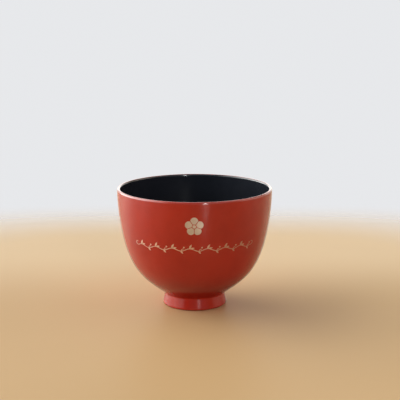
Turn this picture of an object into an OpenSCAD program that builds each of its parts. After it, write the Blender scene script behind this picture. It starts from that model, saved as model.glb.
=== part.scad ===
// Lacquered rice bowl on a turned foot ring.
// A turned wooden core is sealed by an undercoat, then carries a red lacquer outside and over the lip,
// a black lacquer inside, a separately laid red lacquer under the foot, and two metal-foil prints.
// Millimetres, +Z up, origin on the table at the centre of the foot ring, prints facing -Y.

/* [Bowl] */
// Outside diameter at the rim
rim_d = 100; // [90:1:115]
// Height from the table to the top of the lip
height = 77.2; // [70:0.1:90]
// Wall thickness at the lip, all coats included
lip_t = 2; // [1.8:0.1:3]
// Height of the inside floor above the table
floor_z = 10.2; // [9.6:0.1:12]
// How far the red outside coat rolls over the top of the lip, in degrees past the crest
lip_wrap = 25; // [15:5:80]

/* [Foot] */
// Diameter of the foot where it meets the belly
foot_top_d = 39.8; // [37:0.2:42]
// Largest diameter of the foot, just above the table
foot_base_d = 41.6; // [40:0.2:45]
// Height of the joint between foot and belly
foot_h = 8; // [7.6:0.1:9.5]
// Diameter of the recess under the foot
well_d = 34; // [29:0.5:35]
// Depth of the recess under the foot
well_h = 5.8; // [4.5:0.1:6.3]
// Rounding of the outer bottom edge of the foot
foot_round = 1.4; // [1:0.1:1.8]

/* [Coats] */
// Thickness of each lacquer top coat
topcoat_t = 0.2; // [0.15:0.05:0.25]
// Thickness of the undercoat that seals the wood
undercoat_t = 0.2; // [0.15:0.05:0.25]
// Thickness of the foil prints
foil_t = 0.1; // [0.08:0.01:0.2]

/* [Blossom] */
// Height of the blossom's centre above the table
blossom_z = 62.2; // [60:0.1:64]
// Diameter of the blossom over its petals
blossom_d = 11.6; // [8:0.1:12]
// Number of petals
petals = 5; // [5:1:6]
// Gap between petals
petal_gap = 0.36; // [0.2:0.02:0.6]

/* [Vine] */
// Height of the vine's middle line above the table
vine_z = 47.2; // [46:0.1:49]
// Length of the vine, measured round the wall
vine_len = 77; // [60:1:96]
// Number of whole waves in the stem
vine_waves = 7; // [5:1:8]
// Height of each wave from the middle line
vine_amp = 0.8; // [0.4:0.05:1.2]
// Width of the stem at its middle
stem_w = 0.45; // [0.4:0.05:0.7]
// Length of a leaf
leaf_l = 3.2; // [2.5:0.1:4]
// Width of a leaf
leaf_w = 1.2; // [0.8:0.05:1.8]

/* [Hidden] */
$fn = 180;

lip_r = lip_t / 2;
rim_r = rim_d / 2;
lip_z = height - lip_r;
foot_r = foot_top_d / 2;
fillet_r = 0.8;
ring_in_r = 0.8;
well_r = well_d / 2;
well_round = 1.2;
base_seam = 50;          // degrees down the bottom rounding where the outside coat ends
wall_steps = 56;
inside_steps = 48;

// Control points of the two wall curves, as shares of each wall's own width and height.
belly_share = [[0, 0], [0.285, 0.105], [0.715, 0.195], [0.875, 0.34], [1, 0.775], [1, 1]];
inside_share = [[0, 0], [0.22, 0], [0.8, -0.018], [0.915, 0.363], [1, 0.727], [1, 1]];
belly = [for (s = belly_share) [foot_r + (rim_r - foot_r) * s[0], foot_h + (lip_z - foot_h) * s[1]]];
inside = [for (s = inside_share) [(rim_r - lip_t) * s[0], floor_z + (lip_z - floor_z) * s[1]]];

// Bezier point, and its direction, by repeated halfway points.
function step(p, t) = [for (i = [0 : len(p) - 2]) p[i] * (1 - t) + p[i + 1] * t];
function at(p, t) = len(p) == 1 ? p[0] : at(step(p, t), t);
function diffs(p) = [for (i = [0 : len(p) - 2]) p[i + 1] - p[i]];
function dir(p, t) = let (d = at(diffs(p), t)) d / norm(d);
function right(v) = [v[1], -v[0]];
function back(l) = [for (i = [len(l) - 1 : -1 : 0]) l[i]];

// A sample of the section is [radius, height, and the unit vector into the wall].
function curve(p, n, t0 = 0, t1 = 1) = [for (i = [0 : n]) let (t = t0 + (t1 - t0) * i / n, q = at(p, t), u = dir(p, t) * (t1 > t0 ? 1 : -1), w = right(u)) [q[0], q[1], w[0], w[1]]];
function arc(c, r, a0, a1, n, inward = -1) = [for (i = [0 : n]) let (a = a0 + (a1 - a0) * i / n) [c[0] + r * cos(a), c[1] + r * sin(a), inward * cos(a), inward * sin(a)]];

// Foot: a fillet under the belly, a straight side tangent to it and to the bottom rounding.
foot_dir = -dir(belly, 0);
fillet_c = [foot_r, foot_h] - fillet_r * right(foot_dir);
round_c = [foot_base_d / 2 - foot_round, foot_round];
span = round_c - fillet_c;
lean = atan2(fillet_r + foot_round, sqrt(span * span - pow(fillet_r + foot_round, 2)));
side_a = atan2(span[1], span[0]) + lean;
a_fillet0 = atan2(right(foot_dir)[1], right(foot_dir)[0]);
a_fillet1 = side_a + 270;
a_round0 = side_a + 90;
ring_c = [well_r + ring_in_r, ring_in_r];

sec_inside = concat(curve(inside, inside_steps), arc([rim_r - lip_r, lip_z], lip_r, 180, 90 + lip_wrap, 4));
sec_outside = concat(
    arc([rim_r - lip_r, lip_z], lip_r, 90 + lip_wrap, 90, 6),
    arc([rim_r - lip_r, lip_z], lip_r, 90, 0, 9),
    curve(belly, wall_steps, 1, 0),
    arc(fillet_c, fillet_r, a_fillet0, a_fillet1, 6, 1),
    arc(round_c, foot_round, a_round0, -base_seam, 8));
sec_base = concat(
    arc(round_c, foot_round, -base_seam, -90, 5),
    arc(ring_c, ring_in_r, -90, -180, 6),
    arc([well_r - well_round, well_h - well_round], well_round, 0, 90, 6, 1),
    [[0, well_h, 0, 1]]);

// Drops a point that repeats the one before it.
function clean(l) = [for (i = [0 : len(l) - 1]) if (i == 0 || norm([l[i][0] - l[i - 1][0], l[i][1] - l[i - 1][1]]) > 0.002) l[i]];
// A section moved d into the wall.
function layer(sec, d) = [for (s = clean(sec)) [max(0, s[0] + d * s[2]), s[1] + d * s[3]]];
section = clean(concat(sec_inside, sec_outside, sec_base));

// A coat between two depths of one section.
module coat(sec, d0, d1) {
    rotate_extrude() polygon(concat(layer(sec, d0), back(layer(sec, d1))));
}

// --- Turned wooden core with its foot ring, in one piece ---
module wood_core() {
    color("burlywood") rotate_extrude() polygon(layer(section, topcoat_t + undercoat_t));
}

// --- Undercoat: one closed skin all round the wood ---
module undercoat() {
    color("dimgray") difference() {
        rotate_extrude() polygon(layer(section, topcoat_t));
        rotate_extrude() polygon(layer(section, topcoat_t + undercoat_t));
    }
}

// --- Red top coat: lip, belly and the outside of the foot ---
module outer_lacquer() {
    color("firebrick") coat(sec_outside, 0, topcoat_t);
}

// --- Black top coat inside ---
module inner_lacquer() {
    color([0.06, 0.06, 0.07]) coat(sec_inside, 0, topcoat_t);
}

// --- Red top coat of the contact ring and the recess, laid last ---
module foot_base_lacquer() {
    color("brown") coat(sec_base, 0, topcoat_t);
}

// --- Prints ---
wall_sec = clean(curve(belly, wall_steps, 1, 0));
wall_table = back([for (s = wall_sec) [s[1], s[0]]]);
// Radius of the wall at height z.
function wall_r(z) = lookup(z, wall_table);
// Skin of foil thickness over the belly between two heights.
module foil_band(z0, z1) {
    band = [for (s = wall_sec) if (s[1] > z0 && s[1] < z1) s];
    rotate_extrude() polygon(concat(layer(band, 0), back(layer(band, -foil_t))));
}
// Cuts a flat outline, drawn in X and Z, out of that skin on the -Y side.
module printed(z0, z1) {
    intersection() {
        foil_band(z0 - 2, z1 + 2);
        rotate([90, 0, 0]) linear_extrude(height = rim_r + 5) children();
    }
}

// One petal, pointing up, between its two neighbours.
module petal() {
    k = blossom_d / 11.6;
    half = 180 / petals;
    apex = petal_gap / 2 / sin(half);
    difference() {
        intersection() {
            translate([0, 3.4 * k]) circle(2.4 * k);
            polygon([[0, apex], [-12 * sin(half), apex + 12 * cos(half)], [12 * sin(half), apex + 12 * cos(half)]]);
        }
        circle(1.5 * k);
    }
}
module blossom_foil() {
    color("tan") printed(blossom_z - blossom_d / 2, blossom_z + blossom_d / 2)
        translate([0, blossom_z]) {
            for (i = [0 : petals - 1]) rotate(i * 360 / petals) petal();
            circle(1.1 * blossom_d / 11.6);
        }
}

// Vine outlines are drawn as [distance round the wall, height over the middle line].
vine_r = wall_r(vine_z);
function wrap(p) = [for (q = p) let (z = vine_z + q[1]) [wall_r(z) * sin(q[0] / vine_r * 180 / PI), z]];
wave = vine_len / vine_waves;
function stem_h(s) = vine_amp * sin(360 * (s + vine_len / 2) / wave);
// A stroke along a line of points, w wide in the middle and thinner at its ends.
function stroke(l, w, tip) = let (n = len(l) - 1,
    t = [for (i = [0 : n]) let (u = l[min(i + 1, n)] - l[max(i - 1, 0)]) u / norm(u)],
    h = [for (i = [0 : n]) (tip + (w - tip) * sqrt(sin(180 * i / n))) / 2])
    concat([for (i = [0 : n]) l[i] + h[i] * [-t[i][1], t[i][0]]], back([for (i = [0 : n]) l[i] - h[i] * [-t[i][1], t[i][0]]]));
// A leaf from its base point b, pointing at angle a, widest a little before its middle.
function leaf(b, a, l, w) = let (n = 9,
    u = [cos(a), sin(a)], v = [-sin(a), cos(a)],
    h = [for (i = [0 : n]) w / 2 * pow(sin(180 * pow(i / n, 0.85)), 0.9)])
    concat([for (i = [0 : n]) b + l * i / n * u + h[i] * v], back([for (i = [1 : n - 1]) b + l * i / n * u - h[i] * v]));
// A curl: an arc that tightens towards its tip.
function curl(b, a0, r, turn, n) = [for (i = [0 : n]) let (k = i / n, a = a0 + turn * k, q = r * (1 - 0.62 * k)) b + [-r * cos(a0) + q * cos(a), -r * sin(a0) + q * sin(a)]];

stem_line = [for (i = [0 : 16 * vine_waves]) let (s = -vine_len / 2 + vine_len * i / (16 * vine_waves)) [s, stem_h(s)]];
module vine_shapes() {
    polygon(wrap(stroke(stem_line, stem_w, stem_w * 0.6)));
    for (i = [0 : vine_waves - 1]) {
        up = -vine_len / 2 + wave * (i + 0.25);
        down = -vine_len / 2 + wave * (i + 0.75);
        // A pair of leaves at each crest, one leaf and a berry at each trough.
        polygon(wrap(leaf([up - 0.3, vine_amp], 62, leaf_l, leaf_w)));
        polygon(wrap(leaf([up + 0.5, vine_amp - 0.05], 14, leaf_l * 0.78, leaf_w * 0.85)));
        polygon(wrap(leaf([down - 0.2, -vine_amp], -48, leaf_l * 0.72, leaf_w * 0.85)));
        polygon(wrap(stroke(curl([down + 0.3, -vine_amp + 0.1], 200, 1.5, -110, 7), 0.34, 0.26)));
        polygon(wrap([for (a = [0 : 30 : 330]) [down + 1.95, 1.55] + 0.5 * [cos(a), sin(a)]]));
    }
    // A curl at each end of the stem.
    polygon(wrap(stroke(curl([-vine_len / 2, 0], -60, 1.7, -250, 14), stem_w * 0.8, stem_w * 0.55)));
    polygon(wrap(stroke(curl([vine_len / 2, 0], 240, 1.7, 250, 14), stem_w * 0.8, stem_w * 0.55)));
}
module vine_foil() {
    color("tan") printed(vine_z - 4, vine_z + 6) vine_shapes();
}

wood_core();
undercoat();
outer_lacquer();
inner_lacquer();
foot_base_lacquer();
blossom_foil();
vine_foil();
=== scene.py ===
"""Looks for a small lacquered rice bowl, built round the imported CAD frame."""
import math

import bpy
import numpy as np
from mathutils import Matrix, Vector, geometry, noise


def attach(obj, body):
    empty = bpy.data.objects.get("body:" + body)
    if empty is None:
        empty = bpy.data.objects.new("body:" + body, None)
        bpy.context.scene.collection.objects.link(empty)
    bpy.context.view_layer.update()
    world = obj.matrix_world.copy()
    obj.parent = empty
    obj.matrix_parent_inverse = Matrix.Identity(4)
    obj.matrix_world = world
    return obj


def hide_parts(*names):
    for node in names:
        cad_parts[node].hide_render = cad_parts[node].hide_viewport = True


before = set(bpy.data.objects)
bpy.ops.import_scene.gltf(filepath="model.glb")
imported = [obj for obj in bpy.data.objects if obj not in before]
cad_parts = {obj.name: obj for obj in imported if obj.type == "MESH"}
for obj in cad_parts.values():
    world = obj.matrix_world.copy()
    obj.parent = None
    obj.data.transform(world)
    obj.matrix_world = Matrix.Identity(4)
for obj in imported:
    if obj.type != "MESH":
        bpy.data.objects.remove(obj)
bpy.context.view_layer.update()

scene = bpy.context.scene
MM = 0.001

# ---------------------------------------------------------------- camera
cam_data = bpy.data.cameras.new("camera")
cam_data.sensor_width = 36.0
cam_data.lens = 90.0
cam_data.clip_start = 0.01
cam_data.clip_end = 20.0
camera = bpy.data.objects.new("camera", cam_data)
scene.collection.objects.link(camera)
camera.location = (3.47 * MM, -635.43 * MM, 198.16 * MM)
camera.rotation_euler = (math.radians(90.0 - 11.519), 0.0, 0.0)
scene.camera = camera

# ---------------------------------------------------------------- the bowl's section, in mm, as in the CAD
RIM_R, LIP_T, HEIGHT, FLOOR_Z = 50.0, 2.0, 77.2, 10.2
FOOT_TOP_R, FOOT_BASE_R, FOOT_H = 19.9, 20.8, 8.0
WELL_R, WELL_H, WELL_ROUND, RING_ROUND = 17.0, 5.8, 1.2, 0.8
FOOT_ROUND, FILLET, SEAM = 1.4, 0.8, 50.0
TOPCOAT = 0.2
LIP_R = LIP_T / 2
LIP_Z = HEIGHT - LIP_R
BELLY = [[0, 0], [0.285, 0.105], [0.715, 0.195], [0.875, 0.34], [1, 0.775], [1, 1]]
INSIDE = [[0, 0], [0.22, 0], [0.8, -0.018], [0.915, 0.363], [1, 0.727], [1, 1]]
belly = [(FOOT_TOP_R + (RIM_R - FOOT_TOP_R) * u, FOOT_H + (LIP_Z - FOOT_H) * v) for u, v in BELLY]
inside = [((RIM_R - LIP_T) * u, FLOOR_Z + (LIP_Z - FLOOR_Z) * v) for u, v in INSIDE]


def casteljau(points, t):
    p = [np.array(q, float) for q in points]
    while len(p) > 1:
        p = [a * (1 - t) + b * t for a, b in zip(p[:-1], p[1:])]
    return p[0]


def curve(points, ts):
    """Samples [r, z, nr, nz] along a wall curve; n points into the wall, which lies right of the way of travel."""
    way = 1 if ts[-1] > ts[0] else -1
    steps = [np.array(b, float) - np.array(a, float) for a, b in zip(points[:-1], points[1:])]
    out = []
    for t in ts:
        d = casteljau(steps, t) * way
        d /= np.linalg.norm(d)
        p = casteljau(points, t)
        out.append((p[0], p[1], d[1], -d[0]))
    return out


def arc(centre, r, a0, a1, n, inward=-1):
    out = []
    for i in range(n + 1):
        a = math.radians(a0 + (a1 - a0) * i / n)
        out.append((centre[0] + r * math.cos(a), centre[1] + r * math.sin(a), inward * math.cos(a), inward * math.sin(a)))
    return out


def tidy(samples):
    out = [samples[0]]
    for s in samples[1:]:
        if math.hypot(s[0] - out[-1][0], s[1] - out[-1][1]) > 0.002:
            out.append(s)
    return np.array(out)


foot_way = np.array(belly[0]) - np.array(belly[1])
foot_way /= np.linalg.norm(foot_way)
into = np.array([foot_way[1], -foot_way[0]])
fillet_c = np.array(belly[0]) - FILLET * into
round_c = np.array([FOOT_BASE_R - FOOT_ROUND, FOOT_ROUND])
span = round_c - fillet_c
side_a = math.degrees(math.atan2(span[1], span[0]) + math.atan2(FILLET + FOOT_ROUND, math.sqrt(span @ span - (FILLET + FOOT_ROUND) ** 2)))
a_fillet0 = math.degrees(math.atan2(into[1], into[0]))
a_fillet1 = side_a + 270
lip_c = (RIM_R - LIP_R, LIP_Z)


def even(points, n, reverse=False):
    """Curve parameters that space n + 1 points evenly along a wall curve."""
    t = np.linspace(0, 1, 800)
    p = np.array([casteljau(points, k) for k in t])
    s = np.concatenate([[0], np.cumsum(np.hypot(*np.diff(p, axis=0).T))])
    out = np.interp(np.linspace(0, s[-1], n + 1), s, t)
    return out[::-1] if reverse else out


wall = np.array([casteljau(belly, t) for t in np.linspace(0, 1, 1500)])


def wall_r(z):
    return np.interp(z, wall[:, 1], wall[:, 0])


def wall_slope(z):
    """Change of radius for each mm of height."""
    return (wall_r(z + 0.05) - wall_r(z - 0.05)) / 0.1


# ---------------------------------------------------------------- mesh helpers
def make_object(name, verts, faces, body="root"):
    mesh = bpy.data.meshes.new(name)
    mesh.from_pydata([tuple(v) for v in verts], [], faces)
    mesh.validate()
    mesh.update()
    obj = bpy.data.objects.new(name, mesh)
    scene.collection.objects.link(obj)
    return obj


def seam_angle(phi):
    """Where the hand-laid edge between the red and the black runs over the lip, in degrees, at azimuth phi."""
    a = 4.0 * noise.noise(Vector((2.2 * math.cos(phi), 2.2 * math.sin(phi), 1.7)))
    b = 2.2 * noise.noise(Vector((9.0 * math.cos(phi), 9.0 * math.sin(phi), 4.1)))
    return 115.0 + a + b


def lathe(name, rings_at, segments, closed_loop):
    """Turns a section that may vary with azimuth. rings_at(phi) gives [[r, z], ...] in mm.

    closed_loop: the section is a closed loop clear of the axis. Otherwise it starts and ends on the axis."""
    grid = [rings_at(2 * math.pi * j / segments) for j in range(segments)]
    n = len(grid[0])
    verts, faces = [], []
    rows = []
    for i in range(n):
        if not closed_loop and i in (0, n - 1):
            rows.append([len(verts)] * segments)
            verts.append((0, 0, grid[0][i][1] * MM))
            continue
        row = []
        for j in range(segments):
            phi = 2 * math.pi * j / segments
            r, z = grid[j][i]
            row.append(len(verts))
            verts.append((r * MM * math.cos(phi), r * MM * math.sin(phi), z * MM))
        rows.append(row)
    pairs = [(i, i + 1) for i in range(n - 1)] + ([(n - 1, 0)] if closed_loop else [])
    for i, k in pairs:
        for j in range(segments):
            m = (j + 1) % segments
            a, b, c, d = rows[i][j], rows[i][m], rows[k][m], rows[k][j]
            f = [a]
            for v in (b, c, d):
                if v not in f:
                    f.append(v)
            if len(f) > 2:
                faces.append(f)
    return make_object(name, verts, faces)


def face_outward(obj):
    """Turns every face of a closed mesh outward."""
    import bmesh

    bm = bmesh.new()
    bm.from_mesh(obj.data)
    bmesh.ops.recalc_face_normals(bm, faces=bm.faces)
    if bm.calc_volume(signed=True) < 0:
        bmesh.ops.reverse_faces(bm, faces=bm.faces)
    bm.to_mesh(obj.data)
    bm.free()


def smooth(obj, angle=35.0):
    """Smooth shading, with every edge sharper than angle left crisp."""
    import bmesh

    bm = bmesh.new()
    bm.from_mesh(obj.data)
    for f in bm.faces:
        f.smooth = True
    for e in bm.edges:
        e.smooth = len(e.link_faces) == 2 and e.calc_face_angle(0.0) < math.radians(angle)
    bm.to_mesh(obj.data)
    bm.free()


SEGMENTS = 256
wall_ts = even(belly, 110, reverse=True)
inside_ts = even(inside, 120)


def shell(samples, depth=TOPCOAT):
    """A closed section between a run of samples and the same run depth further into the wall."""
    top = [(s[0], s[1]) for s in samples]
    under = [(max(0.0, s[0] + depth * s[2]), s[1] + depth * s[3]) for s in samples]
    return top + under[::-1]


outer_tail = curve(belly, wall_ts) + arc(fillet_c, FILLET, a_fillet0, a_fillet1, 8, 1) + arc(round_c, FOOT_ROUND, side_a + 90, -SEAM, 10)
inner_head = curve(inside, inside_ts)


def outer_section(phi):
    run = tidy(arc(lip_c, LIP_R, seam_angle(phi), 90, 10) + arc(lip_c, LIP_R, 90, 0, 14) + outer_tail)
    return shell(run)


def inner_section(phi):
    run = tidy(inner_head + arc(lip_c, LIP_R, 180, seam_angle(phi), 5))
    return shell(run)


base_run = (
    arc(round_c, FOOT_ROUND, -SEAM, -90, 8)
    + [(18.9, 0, 0, 1), (18.3, 0, 0, 1)]
    + arc((WELL_R + RING_ROUND, RING_ROUND), RING_ROUND, -90, -180, 8)
    + [(WELL_R, 2.2, 1, 0), (WELL_R, 3.6, 1, 0)]
    + arc((WELL_R - WELL_ROUND, WELL_H - WELL_ROUND), WELL_ROUND, 0, 90, 8, 1)
    + [(r, WELL_H, 0, 1) for r in (13.4, 10.8, 8.2, 5.6, 3.2, 1.4, 0.4)]
)


def base_section(phi):
    run = tidy(base_run)
    top = [(s[0], s[1]) for s in run]
    under = [(max(0.0, s[0] + TOPCOAT * s[2]), s[1] + TOPCOAT * s[3]) for s in run]
    return top + [(0.0, WELL_H), (0.0, WELL_H + TOPCOAT)] + under[::-1]


def ring_from_loop(name, section, segments):
    return lathe(name, section, segments, True)


outer = lathe("red_lacquer", outer_section, SEGMENTS, True)
face_outward(outer)
smooth(outer)


def inner_loop(phi):
    pts = inner_section(phi)
    # The run starts and ends on the axis: floor centre first, the same point under the coat last.
    return pts


inner = lathe("black_lacquer", inner_loop, SEGMENTS, False)
face_outward(inner)
smooth(inner)


def base_loop(phi):
    pts = base_section(phi)
    k = next(i for i, p in enumerate(pts) if p[0] == 0.0)
    # Reordered to start at the recess's centre on the lower face and end above it.
    return [pts[k]] + pts[:k][::-1] + pts[k + 2:][::-1] + [pts[k + 1]]


base = lathe("foot_base_lacquer_coat", base_loop, SEGMENTS, False)
face_outward(base)
smooth(base)


# ---------------------------------------------------------------- the turned body and its ground coat, under the top coats
GROUND = 0.2
whole = tidy(
    curve(inside, even(inside, 44))
    + arc(lip_c, LIP_R, 180, 0, 20)
    + curve(belly, even(belly, 44, reverse=True))
    + arc(fillet_c, FILLET, a_fillet0, a_fillet1, 8, 1)
    + arc(round_c, FOOT_ROUND, side_a + 90, -SEAM, 10)
    + base_run
    + [(0.0, WELL_H, 0, 1)]
)


def body_within(name, depth, segments=128):
    """The whole bowl's surface, set depth into the wall all round."""
    line = [(max(0.0, a + depth * c), b + depth * d) for a, b, c, d in whole]
    line[0] = (0.0, line[0][1])
    line[-1] = (0.0, line[-1][1])
    obj = lathe(name, lambda phi: line, segments, False)
    face_outward(obj)
    return obj


def merge(name, first, second):
    """One mesh from two, with the second one's faces turned round, as the wall of a cavity."""
    verts, faces = [], []
    for obj, turn in ((first, False), (second, True)):
        start = len(verts)
        verts += [tuple(v.co) for v in obj.data.vertices]
        faces += [[start + i for i in (reversed(q.vertices) if turn else q.vertices)] for q in obj.data.polygons]
        mesh = obj.data
        bpy.data.objects.remove(obj)
        bpy.data.meshes.remove(mesh)
    return make_object(name, verts, faces)


turned = body_within("turned_body", TOPCOAT + GROUND)
smooth(turned)
coat = merge("ground_coat", body_within("coat_face", TOPCOAT), body_within("coat_back", TOPCOAT + GROUND))
smooth(coat)


# ---------------------------------------------------------------- foil prints
FOIL = 0.07


def conform(name, outlines, spacing, lift=FOIL, sink=0.03):
    """A thin closed plate over the union of flat outlines [(distance round, height), ...], laid on the wall.

    Outlines are given in X and Z as seen from the front, in mm."""
    coords, loops = [], []
    for line in outlines:
        loops.append(list(range(len(coords), len(coords) + len(line))))
        coords += [Vector(p) for p in line]
    # Extra points inside keep the plate on the curved wall.
    arr = np.array([tuple(c) for c in coords])
    lo, hi = arr.min(0), arr.max(0)
    if spacing:
        rows = int((hi[1] - lo[1]) / (spacing * 0.866)) + 1
        for i in range(rows):
            z = lo[1] + (i + 0.5) * spacing * 0.866
            cols = int((hi[0] - lo[0]) / spacing) + 1
            for j in range(cols):
                x = lo[0] + (j + 0.25 + 0.5 * (i % 2)) * spacing
                for loop in loops:
                    ring = arr[loop]
                    if ring[:, 0].min() < x < ring[:, 0].max() and ring[:, 1].min() < z < ring[:, 1].max() and inside_ring(ring, x, z, 0.3 * spacing):
                        coords.append(Vector((x, z)))
                        break
    out = geometry.delaunay_2d_cdt(coords, [], loops, 1, 1e-5)
    flat, _, tris = out[0], out[1], out[2]
    flat = np.array([tuple(v) for v in flat])
    verts, faces = [], []
    r = wall_r(flat[:, 1])
    slope = wall_slope(flat[:, 1])
    x = flat[:, 0]
    y = -np.sqrt(np.maximum(r * r - x * x, 0))
    nz = -slope
    nx, ny = x / r, y / r
    length = np.sqrt(1 + nz * nz)
    n = np.stack([nx / length, ny / length, nz / length], 1)
    p = np.stack([x, y, flat[:, 1]], 1)
    top = p + lift * n
    low = p - sink * n
    count = len(flat)
    verts = [tuple(v * MM) for v in top] + [tuple(v * MM) for v in low]
    edges = {}
    for t in tris:
        for a, b in zip(t, list(t[1:]) + [t[0]]):
            edges.setdefault((min(a, b), max(a, b)), []).append((a, b))
    faces = [tuple(t) for t in tris] + [tuple(v + count for v in reversed(t)) for t in tris]
    for both in edges.values():
        if len(both) == 1:
            a, b = both[0]
            faces.append((b, a, a + count, b + count))
    obj = make_object(name, verts, faces)
    face_outward(obj)
    smooth(obj)
    return obj


def inside_ring(ring, x, z, margin):
    hit = False
    near = 1e9
    for a, b in zip(ring, np.roll(ring, -1, 0)):
        if (a[1] > z) != (b[1] > z) and x < a[0] + (z - a[1]) / (b[1] - a[1]) * (b[0] - a[0]):
            hit = not hit
        ab = b - a
        k = np.clip(((x - a[0]) * ab[0] + (z - a[1]) * ab[1]) / max(ab @ ab, 1e-9), 0, 1)
        near = min(near, math.hypot(x - a[0] - k * ab[0], z - a[1] - k * ab[1]))
    return hit and near > margin


BLOSSOM_Z, BLOSSOM_D, PETALS, GAP = 62.2, 11.6, 5, 0.36


def petal(turn):
    """One petal's outline: a circle cut by two straight sides next to its neighbours and by the eye's circle."""
    k = BLOSSOM_D / 11.6
    half = math.pi / PETALS
    cy, big, eye = 3.4 * k, 2.4 * k, 1.5 * k
    apex = GAP / 2 / math.sin(half)

    def ok(x, y):
        return abs(x) <= (y - apex) * math.tan(half) + 1e-9 and x * x + (y - cy) ** 2 <= big * big + 1e-9 and x * x + y * y >= eye * eye - 1e-9

    # Rays from a point well inside the petal meet its edge once.
    c = (0.0, 3.5 * k)
    pts = []
    for i in range(96):
        a = 2 * math.pi * i / 96
        lo, hi = 0.0, 4.0 * k
        for _ in range(40):
            m = (lo + hi) / 2
            if ok(c[0] + m * math.cos(a), c[1] + m * math.sin(a)):
                lo = m
            else:
                hi = m
        pts.append((c[0] + lo * math.cos(a), c[1] + lo * math.sin(a)))
    s, co = math.sin(turn), math.cos(turn)
    return [(x * co - y * s, BLOSSOM_Z + x * s + y * co) for x, y in pts]


blossom_lines = [petal(2 * math.pi * i / PETALS) for i in range(PETALS)]
eye_r = 1.1 * BLOSSOM_D / 11.6
blossom_lines.append([(eye_r * math.cos(2 * math.pi * i / 48), BLOSSOM_Z + eye_r * math.sin(2 * math.pi * i / 48)) for i in range(48)])
blossom = conform("blossom_print", blossom_lines, 0.45)

VINE_Z, VINE_LEN, WAVES, AMP, STEM_W, LEAF_L, LEAF_W = 47.2, 77.0, 7, 0.8, 0.45, 3.2, 1.2
vine_r = float(wall_r(VINE_Z))
WAVE = VINE_LEN / WAVES


def wrap(line):
    out = []
    for s, h in line:
        z = VINE_Z + h
        out.append((float(wall_r(z)) * math.sin(s / vine_r), z))
    return out


def stroke(line, w, tip):
    p = np.array(line, float)
    n = len(p) - 1
    t = np.array([p[min(i + 1, n)] - p[max(i - 1, 0)] for i in range(n + 1)])
    t /= np.linalg.norm(t, axis=1)[:, None]
    h = np.array([(tip + (w - tip) * math.sqrt(max(0.0, math.sin(math.pi * i / n)))) / 2 for i in range(n + 1)])
    side = np.stack([-t[:, 1], t[:, 0]], 1)
    return [tuple(q) for q in p + h[:, None] * side] + [tuple(q) for q in (p - h[:, None] * side)[::-1]]


def leaf(b, a, length, w, n=16):
    u = (math.cos(math.radians(a)), math.sin(math.radians(a)))
    v = (-u[1], u[0])
    h = [w / 2 * max(0.0, math.sin(math.pi * (i / n) ** 0.85)) ** 0.9 for i in range(n + 1)]
    one = [(b[0] + length * i / n * u[0] + h[i] * v[0], b[1] + length * i / n * u[1] + h[i] * v[1]) for i in range(n + 1)]
    two = [(b[0] + length * i / n * u[0] - h[i] * v[0], b[1] + length * i / n * u[1] - h[i] * v[1]) for i in range(1, n)]
    return one + two[::-1]


def curl(b, a0, r, turn, n):
    out = []
    for i in range(n + 1):
        k = i / n
        a = math.radians(a0 + turn * k)
        q = r * (1 - 0.62 * k)
        out.append((b[0] - r * math.cos(math.radians(a0)) + q * math.cos(a), b[1] - r * math.sin(math.radians(a0)) + q * math.sin(a)))
    return out


vine_lines = []
stem = [(-VINE_LEN / 2 + VINE_LEN * i / (28 * WAVES), AMP * math.sin(2 * math.pi * i / 28)) for i in range(28 * WAVES + 1)]
vine_lines.append(stroke(stem, STEM_W, STEM_W * 0.6))
for i in range(WAVES):
    up = -VINE_LEN / 2 + WAVE * (i + 0.25)
    down = -VINE_LEN / 2 + WAVE * (i + 0.75)
    vine_lines.append(leaf((up - 0.3, AMP), 62, LEAF_L, LEAF_W))
    vine_lines.append(leaf((up + 0.5, AMP - 0.05), 14, LEAF_L * 0.78, LEAF_W * 0.85))
    vine_lines.append(leaf((down - 0.2, -AMP), -48, LEAF_L * 0.72, LEAF_W * 0.85))
    vine_lines.append(stroke(curl((down + 0.3, -AMP + 0.1), 200, 1.5, -110, 14), 0.34, 0.26))
    vine_lines.append([(down + 1.95 + 0.5 * math.cos(2 * math.pi * k / 20), 1.55 + 0.5 * math.sin(2 * math.pi * k / 20)) for k in range(20)])
vine_lines.append(stroke(curl((-VINE_LEN / 2, 0), -60, 1.7, -250, 28), STEM_W * 0.8, STEM_W * 0.55))
vine_lines.append(stroke(curl((VINE_LEN / 2, 0), 240, 1.7, 250, 28), STEM_W * 0.8, STEM_W * 0.55))
vine = conform("vine_print", [wrap(line) for line in vine_lines], 0)


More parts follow.
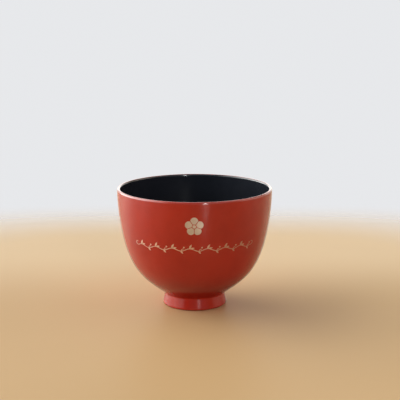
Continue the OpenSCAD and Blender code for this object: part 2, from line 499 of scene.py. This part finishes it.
# ---------------------------------------------------------------- materials
class Paint:
    """A small helper round one node tree."""

    def __init__(self, name):
        self.mat = bpy.data.materials.new(name)
        self.mat.use_nodes = True
        self.tree = self.mat.node_tree
        self.tree.nodes.clear()
        self.out = self.tree.nodes.new("ShaderNodeOutputMaterial")
        self.bsdf = self.tree.nodes.new("ShaderNodeBsdfPrincipled")
        self.tree.links.new(self.bsdf.outputs["BSDF"], self.out.inputs["Surface"])
        self.coord = self.tree.nodes.new("ShaderNodeTexCoord").outputs["Object"]
        self.xyz = self.tree.nodes.new("ShaderNodeSeparateXYZ")
        self.tree.links.new(self.coord, self.xyz.inputs[0])

    def link(self, a, b):
        self.tree.links.new(a, b)

    def set(self, **values):
        for k, v in values.items():
            self.bsdf.inputs[k.replace("_", " ")].default_value = v

    def math(self, op, a, b=None, c=None, clamp=False):
        n = self.tree.nodes.new("ShaderNodeMath")
        n.operation = op
        n.use_clamp = clamp
        for i, v in enumerate((a, b, c)):
            if v is None:
                continue
            if isinstance(v, (int, float)):
                n.inputs[i].default_value = v
            else:
                self.link(v, n.inputs[i])
        return n.outputs[0]

    def range(self, v, a, b, lo=0.0, hi=1.0, kind="SMOOTHSTEP"):
        n = self.tree.nodes.new("ShaderNodeMapRange")
        n.interpolation_type = kind
        n.clamp = True
        self.link(v, n.inputs["Value"])
        n.inputs["From Min"].default_value = a
        n.inputs["From Max"].default_value = b
        n.inputs["To Min"].default_value = lo
        n.inputs["To Max"].default_value = hi
        return n.outputs["Result"]

    def noise(self, scale, detail=2.0, rough=0.5, vector=None, distortion=0.0, kind="3D"):
        n = self.tree.nodes.new("ShaderNodeTexNoise")
        n.noise_dimensions = kind
        n.inputs["Scale"].default_value = scale
        n.inputs["Detail"].default_value = detail
        n.inputs["Roughness"].default_value = rough
        n.inputs["Distortion"].default_value = distortion
        self.link(vector if vector is not None else self.coord, n.inputs["Vector"])
        return n.outputs["Fac"]

    def voronoi(self, scale, feature="F1", vector=None):
        n = self.tree.nodes.new("ShaderNodeTexVoronoi")
        n.feature = feature
        n.inputs["Scale"].default_value = scale
        self.link(vector if vector is not None else self.coord, n.inputs["Vector"])
        return n.outputs["Distance"]

    def combine(self, x, y, z):
        n = self.tree.nodes.new("ShaderNodeCombineXYZ")
        for i, v in enumerate((x, y, z)):
            if isinstance(v, (int, float)):
                n.inputs[i].default_value = v
            else:
                self.link(v, n.inputs[i])
        return n.outputs[0]

    def mix(self, fac, a, b, mode="MIX"):
        n = self.tree.nodes.new("ShaderNodeMix")
        n.data_type = "RGBA"
        n.blend_type = mode
        n.clamp_factor = True
        if isinstance(fac, (int, float)):
            n.inputs["Factor"].default_value = fac
        else:
            self.link(fac, n.inputs["Factor"])
        for sock, v in ((n.inputs[6], a), (n.inputs[7], b)):
            if isinstance(v, tuple):
                sock.default_value = v if len(v) == 4 else (*v, 1.0)
            else:
                self.link(v, sock)
        return n.outputs[2]

    def bump(self, height, distance, strength=1.0, normal=None):
        n = self.tree.nodes.new("ShaderNodeBump")
        n.inputs["Strength"].default_value = strength
        n.inputs["Distance"].default_value = distance
        self.link(height, n.inputs["Height"])
        if normal is not None:
            self.link(normal, n.inputs["Normal"])
        return n.outputs["Normal"]

    def radius(self):
        return self.math("SQRT", self.math("ADD", self.math("MULTIPLY", self.xyz.outputs[0], self.xyz.outputs[0]), self.math("MULTIPLY", self.xyz.outputs[1], self.xyz.outputs[1])))

    def around(self, turns):
        """Coordinates that run fine in height and radius and slow round the axis, for marks left by turning and polishing."""
        az = self.math("ARCTAN2", self.xyz.outputs[1], self.xyz.outputs[0])
        return self.combine(self.math("MULTIPLY", self.math("COSINE", az), turns), self.math("MULTIPLY", self.math("SINE", az), turns), self.math("ADD", self.xyz.outputs[2], self.radius()))


def lacquer(name, deep, bright, rough, worn_rough, peel=1.0):
    """A brushed and polished lacquer: cloudy depth of colour, a faint skin texture and polishing marks round the axis."""
    p = Paint(name)
    cloud = p.noise(28.0, 3.0, 0.55)
    fine = p.noise(210.0, 2.0, 0.5)
    tone = p.math("ADD", p.math("MULTIPLY", cloud, 0.75), p.math("MULTIPLY", fine, 0.25))
    colour = p.mix(p.range(tone, 0.32, 0.68), deep, bright)
    rings = p.noise(900.0, 3.0, 0.6, vector=p.around(0.0035))
    scuff = p.noise(70.0, 4.0, 0.6)
    r = p.math("ADD", p.range(rings, 0.3, 0.7, -0.025, 0.03, "LINEAR"), p.range(scuff, 0.35, 0.7, rough, worn_rough))
    p.link(r, p.bsdf.inputs["Roughness"])
    peel_h = p.noise(430.0, 2.0, 0.5)
    wave_h = p.noise(48.0, 2.0, 0.5)
    n = p.bump(peel_h, 0.000012 * peel)
    n = p.bump(wave_h, 0.00006 * peel, normal=n)
    n = p.bump(rings, 0.0000015 * peel, normal=n)
    p.link(n, p.bsdf.inputs["Normal"])
    p.set(IOR=1.5, Specular_IOR_Level=0.5)
    return p, colour


# Red outside: worn a touch paler along the lip and the foot's lower edge.
red, red_colour = lacquer("red_lacquer", (0.46, 0.0190, 0.0072), (0.54, 0.0255, 0.0098), 0.15, 0.19)
z = red.xyz.outputs[2]
edge = red.math("ADD", red.range(z, 0.0766, 0.0775, 0.0, 1.0), red.range(z, 0.0026, 0.0006, 0.0, 1.0))
edge = red.math("MULTIPLY", edge, red.range(red.noise(150.0, 3.0, 0.6), 0.35, 0.7, 0.15, 0.6))
# Painted shade: the red is darkened low on the belly, where it turns in to the foot.
painted_shade_low = red.math("MULTIPLY", red.range(z, 0.0076, 0.0096), red.range(z, 0.030, 0.008))
red_colour = red.mix(red.math("MULTIPLY", painted_shade_low, 0.34), red_colour, (0.1, 0.004, 0.0015))
red.link(red.mix(edge, red_colour, (0.6, 0.06, 0.03)), red.bsdf.inputs["Base Color"])
# The lip is polished brightest.
red.link(red.range(z, 0.0758, 0.0764, 0.0, 1.0), red.bsdf.inputs["Coat Weight"])
red.set(Coat_IOR=1.8, Coat_Roughness=0.09)

# Black inside.
black, black_colour = lacquer("black_lacquer", (0.0150, 0.0175, 0.0235), (0.0185, 0.0210, 0.0285), 0.18, 0.22, 0.4)
black.link(black_colour, black.bsdf.inputs["Base Color"])
black.link(black.range(black.xyz.outputs[2], 0.0758, 0.0764, 0.0, 1.0), black.bsdf.inputs["Coat Weight"])
black.set(Specular_IOR_Level=0.28, Coat_IOR=1.8, Coat_Roughness=0.09)

# Red under the foot: satin, scuffed where the ring stands.
under, under_colour = lacquer("foot_base_lacquer", (0.36, 0.0165, 0.0062), (0.43, 0.022, 0.0085), 0.3, 0.4, 1.4)
ring = under.range(under.xyz.outputs[2], 0.0005, 0.00005, 0.0, 1.0)
scratch = under.noise(520.0, 4.0, 0.7, vector=under.around(0.012))
worn = under.math("MULTIPLY", ring, under.range(scratch, 0.42, 0.62))
under.link(under.mix(worn, under_colour, (0.19, 0.032, 0.02)), under.bsdf.inputs["Base Color"])


def foil(name, pale, deep, shade_right=0.0):
    """Champagne foil: fine leafing grain and a soft satin."""
    p = Paint(name)
    grain = p.noise(2600.0, 3.0, 0.65)
    mottle = p.noise(240.0, 3.0, 0.6)
    tone = p.math("ADD", p.math("MULTIPLY", grain, 0.45), p.math("MULTIPLY", mottle, 0.55))
    colour = p.mix(p.range(tone, 0.36, 0.64), deep, pale)
    # Painted shade: the print is darkened towards its right end, as if the light fell from the left.
    painted_shade_right = p.math("MULTIPLY", p.range(p.xyz.outputs[0], -0.04, 0.04), shade_right)
    p.link(p.mix(painted_shade_right, colour, (0.45, 0.16, 0.1)), p.bsdf.inputs["Base Color"])
    p.link(p.range(grain, 0.3, 0.7, 0.3, 0.42, "LINEAR"), p.bsdf.inputs["Roughness"])
    p.link(p.bump(grain, 0.000004, normal=p.bump(mottle, 0.000012)), p.bsdf.inputs["Normal"])
    p.set(Metallic=0.9, IOR=1.5)
    return p


blossom_foil = foil("blossom_foil", (0.75, 0.67, 0.63), (0.63, 0.56, 0.52))
vine_foil = foil("vine_foil", (1.0, 0.80, 0.70), (0.86, 0.68, 0.59), 0.62)

# Turned wood: growth rings about an off-centre pith, fibres along the grain and small dark pores.
wood = Paint("turned_wood")
x, y, zz = wood.xyz.outputs[0], wood.xyz.outputs[1], wood.xyz.outputs[2]
warp = wood.noise(18.0, 2.0, 0.5)
yy = wood.math("ADD", y, wood.math("MULTIPLY", warp, 0.012))
zo = wood.math("ADD", zz, 0.14)
dist = wood.math("SQRT", wood.math("ADD", wood.math("MULTIPLY", yy, yy), wood.math("MULTIPLY", zo, zo)))
ring_no = wood.math("MULTIPLY", dist, 620.0)
saw = wood.math("FRACT", ring_no)
late = wood.math("MULTIPLY", wood.range(saw, 0.35, 0.95), wood.range(saw, 1.0, 0.95))
fibre = wood.noise(60.0, 5.0, 0.65, vector=wood.combine(wood.math("MULTIPLY", x, 1.0), wood.math("MULTIPLY", y, 22.0), wood.math("MULTIPLY", zz, 22.0)))
pore = wood.range(wood.noise(95.0, 2.0, 0.5, vector=wood.combine(wood.math("MULTIPLY", x, 2.0), wood.math("MULTIPLY", y, 34.0), wood.math("MULTIPLY", zz, 34.0))), 0.66, 0.72)
tone = wood.mix(late, (0.52, 0.33, 0.17), (0.33, 0.18, 0.08))
tone = wood.mix(wood.range(fibre, 0.3, 0.75, 0.0, 0.55), tone, (0.42, 0.25, 0.12))
tone = wood.mix(pore, tone, (0.16, 0.085, 0.04))
wood.link(tone, wood.bsdf.inputs["Base Color"])
wood.link(wood.range(fibre, 0.2, 0.8, 0.5, 0.68, "LINEAR"), wood.bsdf.inputs["Roughness"])
wood.link(wood.bump(fibre, 0.00004, normal=wood.bump(wood.math("SUBTRACT", 1.0, pore), 0.00006)), wood.bsdf.inputs["Normal"])

# Sanded ground coat.
ground = Paint("undercoat")
speck = ground.noise(700.0, 4.0, 0.7)
patch = ground.noise(40.0, 3.0, 0.55)
sanding = ground.noise(600.0, 3.0, 0.65, vector=ground.around(0.02))
gc = ground.mix(ground.range(patch, 0.35, 0.65), (0.032, 0.018, 0.013), (0.055, 0.03, 0.021))
gc = ground.mix(ground.range(speck, 0.55, 0.75, 0.0, 0.5), gc, (0.1, 0.07, 0.055))
ground.link(gc, ground.bsdf.inputs["Base Color"])
ground.link(ground.range(sanding, 0.3, 0.7, 0.62, 0.8, "LINEAR"), ground.bsdf.inputs["Roughness"])
ground.link(ground.bump(sanding, 0.00001, normal=ground.bump(speck, 0.00001)), ground.bsdf.inputs["Normal"])


def dress(obj, paint):
    obj.data.materials.clear()
    obj.data.materials.append(paint.mat)


for obj, node, paint, slot in (
    (outer, "outer_lacquer", red, "red_lacquer"),
    (inner, "inner_lacquer", black, "black_lacquer"),
    (base, "foot_base_lacquer", under, "base_lacquer"),
    (blossom, "blossom_foil", blossom_foil, "blossom_foil"),
    (vine, "vine_foil", vine_foil, "vine_foil"),
    (turned, "wood_core", wood, "turned_wood"),
    (coat, "undercoat", ground, "undercoat"),
):
    dress(obj, paint)
    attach(obj, "root")
    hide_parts(node)

# ---------------------------------------------------------------- floor, a plain pale table top
floor_mesh = bpy.data.meshes.new("floor")
w, d0, d1 = 2.4, -2.4, 1.6
floor_mesh.from_pydata([(-w, d0, 0), (w, d0, 0), (w, d1, 0), (-w, d1, 0)], [], [(0, 1, 2, 3)])
floor = bpy.data.objects.new("floor", floor_mesh)
scene.collection.objects.link(floor)
table = Paint("floor")
soft = table.noise(3.0, 3.0, 0.5)
ray = table.tree.nodes.new("ShaderNodeLightPath")
near_tone = table.mix(table.range(soft, 0.3, 0.7), (0.69, 0.465, 0.225), (0.73, 0.495, 0.25))
# Painted sheen: the floor the camera sees turns paler towards the back, standing in for the gloss of a table top.
seen_tone_and_painted_sheen = table.mix(table.range(table.xyz.outputs[1], -0.01, 0.13), near_tone, (0.86, 0.64, 0.375))
thrown_tone = table.mix(table.range(soft, 0.3, 0.7), (0.40, 0.27, 0.15), (0.43, 0.30, 0.165))
table.link(table.mix(ray.outputs["Is Diffuse Ray"], seen_tone_and_painted_sheen, thrown_tone), table.bsdf.inputs["Base Color"])
table.link(table.range(soft, 0.3, 0.7, 0.29, 0.33), table.bsdf.inputs["Roughness"])
matt = table.tree.nodes.new("ShaderNodeBsdfPrincipled")
matt.inputs["Roughness"].default_value = 0.45
matt.inputs["Specular IOR Level"].default_value = 0.1
table.link(seen_tone_and_painted_sheen, matt.inputs["Base Color"])
plane = table.tree.nodes.new("ShaderNodeMixShader")
table.link(ray.outputs["Is Camera Ray"], plane.inputs[0])
table.link(table.bsdf.outputs["BSDF"], plane.inputs[1])
table.link(matt.outputs["BSDF"], plane.inputs[2])
# It melts into the plain backdrop some way behind and beside the object, and is clear from below.
tx, ty = table.xyz.outputs[0], table.xyz.outputs[1]
reach = table.math("POWER", table.math("ADD", table.math("POWER", table.math("ABSOLUTE", tx), 4.0), table.math("POWER", table.math("ABSOLUTE", ty), 4.0)), 0.25)
side = table.tree.nodes.new("ShaderNodeNewGeometry")
melt = table.math("MULTIPLY", table.range(reach, 0.175, 0.32), ray.outputs["Is Camera Ray"])
melt = table.math("MAXIMUM", melt, side.outputs["Backfacing"])
# Nothing under the foot, so that the recess is lit when seen from below.
melt = table.math("MAXIMUM", melt, table.math("LESS_THAN", table.radius(), (FOOT_BASE_R - FOOT_ROUND + 0.2) * MM))
clear = table.tree.nodes.new("ShaderNodeBsdfTransparent")
blend = table.tree.nodes.new("ShaderNodeMixShader")
table.link(melt, blend.inputs[0])
table.link(plane.outputs[0], blend.inputs[1])
table.link(clear.outputs[0], blend.inputs[2])
table.link(blend.outputs[0], table.out.inputs["Surface"])
floor_mesh.materials.append(table.mat)

# ---------------------------------------------------------------- light
world = bpy.data.worlds.new("studio")
world.use_nodes = True
scene.world = world
wt = world.node_tree
wt.nodes.clear()
w_out = wt.nodes.new("ShaderNodeOutputWorld")
w_bg = wt.nodes.new("ShaderNodeBackground")
wt.links.new(w_bg.outputs[0], w_out.inputs[0])
w_coord = wt.nodes.new("ShaderNodeTexCoord")

# Broad soft lobes of light: azimuth and elevation of the middle, half width, and colour times strength.
# Azimuth 0 comes from the camera's side and 90 from the right.
LOBES = {
    "under": (0, -90, 75, (1.60, 1.60, 1.60)),
    "low_180": (-180, 8, 26, (1.71, 1.64, 1.56)),
    "low_210": (-150, 8, 26, (0.98, 0.99, 0.98)),
    "low_240": (-120, 8, 26, (4.30, 4.30, 4.20)),
    "low_270": (-90, 8, 26, (2.92, 2.92, 2.91)),
    "low_300": (-60, 8, 26, (1.58, 1.60, 1.59)),
    "low_330": (-30, 8, 26, (0.00, 0.04, 0.06)),
    "low_000": (0, 8, 26, (0.12, 0.14, 0.16)),
    "low_030": (30, 8, 26, (0.17, 0.17, 0.20)),
    "low_060": (60, 8, 26, (0.07, 0.03, 0.02)),
    "low_090": (90, 8, 26, (1.10, 0.92, 0.82)),
    "low_120": (120, 8, 26, (0.61, 0.55, 0.49)),
    "low_150": (150, 8, 26, (0.79, 0.77, 0.75)),
    "middle_225": (-135, 35, 32, (1.75, 1.73, 1.66)),
    "middle_270": (-90, 35, 32, (2.19, 2.19, 2.17)),
    "middle_315": (-45, 35, 32, (0.37, 0.38, 0.38)),
    "middle_000": (0, 35, 32, (0.10, 0.12, 0.15)),
    "middle_045": (45, 35, 32, (0.39, 0.35, 0.35)),
    "middle_090": (90, 35, 32, (0.52, 0.44, 0.40)),
    "middle_135": (135, 35, 32, (0.18, 0.13, 0.07)),
    "high_225": (-135, 64, 32, (0.55, 0.52, 0.48)),
    "high_135": (135, 64, 32, (0.47, 0.44, 0.41)),
}


def towards(azimuth, elevation):
    a, e = math.radians(azimuth), math.radians(elevation)
    return Vector((math.sin(a) * math.cos(e), -math.cos(a) * math.cos(e), math.sin(e)))


total = None
for key, (azimuth, elevation, half, rgb) in LOBES.items():
    emit = wt.nodes.new("ShaderNodeRGB")
    emit.name = "lobe_" + key
    emit.outputs[0].default_value = (*rgb, 1.0)
    dot = wt.nodes.new("ShaderNodeVectorMath")
    dot.operation = "DOT_PRODUCT"
    wt.links.new(w_coord.outputs["Generated"], dot.inputs[0])
    dot.inputs[1].default_value = towards(azimuth, elevation)
    fall = wt.nodes.new("ShaderNodeMapRange")
    fall.interpolation_type = "SMOOTHSTEP"
    fall.inputs["From Min"].default_value = math.cos(math.radians(half))
    fall.inputs["From Max"].default_value = 1.0
    wt.links.new(dot.outputs["Value"], fall.inputs["Value"])
    scale = wt.nodes.new("ShaderNodeVectorMath")
    scale.operation = "SCALE"
    wt.links.new(emit.outputs[0], scale.inputs[0])
    wt.links.new(fall.outputs["Result"], scale.inputs["Scale"])
    part = scale.outputs[0]
    if total is None:
        total = part
    else:
        add = wt.nodes.new("ShaderNodeVectorMath")
        add.operation = "ADD"
        wt.links.new(total, add.inputs[0])
        wt.links.new(part, add.inputs[1])
        total = add.outputs[0]
# The camera sees a plain pale backdrop whichever way it looks.
path = wt.nodes.new("ShaderNodeLightPath")
seen = wt.nodes.new("ShaderNodeMix")
seen.data_type = "RGBA"
wt.links.new(path.outputs["Is Camera Ray"], seen.inputs["Factor"])
wt.links.new(total, seen.inputs[6])
seen.inputs[7].default_value = (0.8, 0.81, 0.83, 1.0)
wt.links.new(seen.outputs[2], w_bg.inputs["Color"])


def softbox(name, where, at, size, power, colour=(1, 1, 1)):
    data = bpy.data.lights.new(name, "AREA")
    data.shape = "RECTANGLE"
    data.size, data.size_y = size
    data.energy = power
    data.color = colour
    obj = bpy.data.objects.new(name, data)
    scene.collection.objects.link(obj)
    obj.location = where
    obj.rotation_euler = (Vector(at) - Vector(where)).to_track_quat("-Z", "Y").to_euler()
    obj.visible_camera = False
    return obj


# A tall narrow window to the right of the camera, in three panes.
for name, low, high, power in (("window_low", 0.02, 0.2, 0.12), ("window_middle", 0.2, 0.5, 2.3), ("window_high", 0.5, 1.0, 1.1)):
    foot_of = towards(15.7, 0) * 1.5
    middle = (low + high) / 2
    softbox(name, (foot_of.x, foot_of.y, middle), (0, 0, middle), (0.1, high - low), power)

scene.view_settings.view_transform = "Standard"
scene.view_settings.look = "None"
scene.view_settings.exposure = 0.0
scene.view_settings.gamma = 1.0
